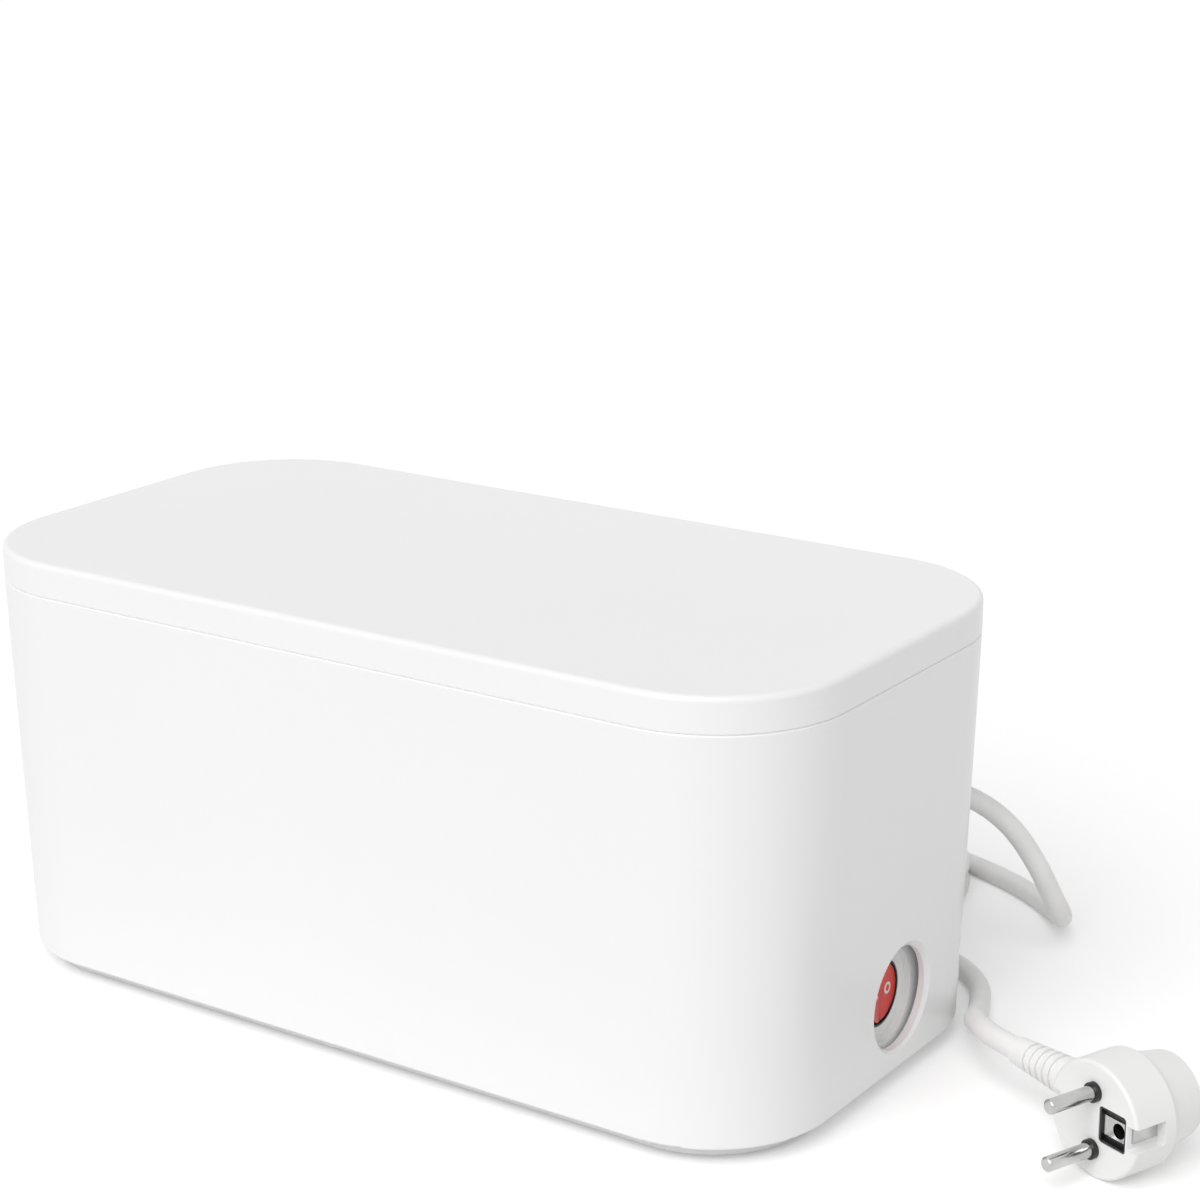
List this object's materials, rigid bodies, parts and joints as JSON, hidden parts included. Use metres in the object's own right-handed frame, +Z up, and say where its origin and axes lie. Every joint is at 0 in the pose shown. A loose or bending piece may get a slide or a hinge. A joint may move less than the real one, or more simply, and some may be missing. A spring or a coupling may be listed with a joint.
{
  "type": "cable management box",
  "caption": "Lidded box that hides a lift-out socket strip with round wells, USB ports and a rocker switch, with rear cable slots and a mains lead with plug.",
  "frame": {"origin": "middle of the box's footprint at the underside of its feet, without the mains lead and plug", "axes": "+X along the box to the switch end, -Y to the front, +Z up"},
  "size_m": [0.4294, 0.2805, 0.154],
  "materials": {
    "white_gloss": "gloss",
    "white_satin": "satin",
    "grey_rubber": "matte",
    "black_plastic": "satin",
    "grey_plastic": "satin",
    "red_gloss": "gloss",
    "white_pvc": "satin",
    "brass": "satin",
    "steel": "satin",
    "nickel": "polished",
    "green_board": "satin",
    "yellow_tape": "satin",
    "live_brown": "satin",
    "neutral_blue": "satin",
    "earth_green": "satin"
  },
  "bodies": {
    "root": {"box_shell": "white_gloss", "base_plate": "white_satin", "base_screws": "steel", "rubber_feet": "grey_rubber", "mains_lead": "white_pvc", "lead_coil": "white_pvc", "mains_lead_tail": "white_pvc", "coil_tie": "black_plastic", "plug_body": "white_gloss", "plug_pins": "nickel", "plug_pin_collars": "black_plastic", "plug_earth_clips": "nickel", "plug_earth_insert": "black_plastic", "plug_earth_plate": "nickel", "plug_boot": "white_pvc"},
    "power_strip": {"strip_cover": "white_gloss", "socket_wells": "white_gloss", "pass_tube": "white_gloss", "cover_bosses": "white_satin", "strip_base": "white_satin", "base_posts": "white_satin", "strip_screws": "steel", "earth_bar": "brass", "earth_clips": "brass", "live_bar": "brass", "neutral_bar": "brass", "pin_contacts": "brass", "contact_carrier": "white_satin", "shutter_springs": "steel", "usb_board": "green_board", "usb_a_shells": "nickel", "usb_a_tongues": "black_plastic", "usb_c_shell": "nickel", "usb_transformer": "yellow_tape", "usb_capacitors": "black_plastic", "switch_body": "black_plastic", "switch_terminals": "brass", "live_wire": "live_brown", "neutral_wire": "neutral_blue", "earth_wire": "earth_green", "lead_bushing": "white_pvc", "lead_inner_end": "white_pvc", "cord_clamp": "grey_plastic", "clamp_screws": "steel"},
    "lid": {"lid_cover": "white_gloss", "lid_frame": "white_satin"},
    "rocker": {"switch_rocker": "red_gloss"},
    "shutter_1": {"shutter_1": "grey_plastic"},
    "shutter_2": {"shutter_2": "grey_plastic"},
    "shutter_3": {"shutter_3": "grey_plastic"},
    "shutter_4": {"shutter_4": "grey_plastic"}
  },
  "joints": [
    {"name": "strip_lift", "type": "slide", "parent": "root", "child": "power_strip", "axis": [0, 0, 1], "range_m": [0, 0.145]},
    {"name": "lid_lift", "type": "slide", "parent": "power_strip", "child": "lid", "axis": [0, 0, 1], "range_m": [0, 0.018]},
    {"name": "switch_rock", "type": "hinge", "parent": "power_strip", "child": "rocker", "pos_m": [0.14955, 0.009, 0.0305], "axis": [0, 0, -1], "range_deg": [0, 15]},
    {"name": "shutter_1_turn", "type": "hinge", "parent": "power_strip", "child": "shutter_1", "pos_m": [-0.069, -0.046, 0.0391], "axis": [0, 0, -1], "range_deg": [0, 40], "stiffness_Nm_per_rad": 0.005},
    {"name": "shutter_2_turn", "type": "hinge", "parent": "power_strip", "child": "shutter_2", "pos_m": [-0.019, -0.046, 0.0391], "axis": [0, 0, -1], "range_deg": [0, 40], "stiffness_Nm_per_rad": 0.005},
    {"name": "shutter_3_turn", "type": "hinge", "parent": "power_strip", "child": "shutter_3", "pos_m": [0.031, -0.046, 0.0391], "axis": [0, 0, -1], "range_deg": [0, 40], "stiffness_Nm_per_rad": 0.005},
    {"name": "shutter_4_turn", "type": "hinge", "parent": "power_strip", "child": "shutter_4", "pos_m": [0.081, -0.046, 0.0391], "axis": [0, 0, -1], "range_deg": [0, 40], "stiffness_Nm_per_rad": 0.005}
  ]
}
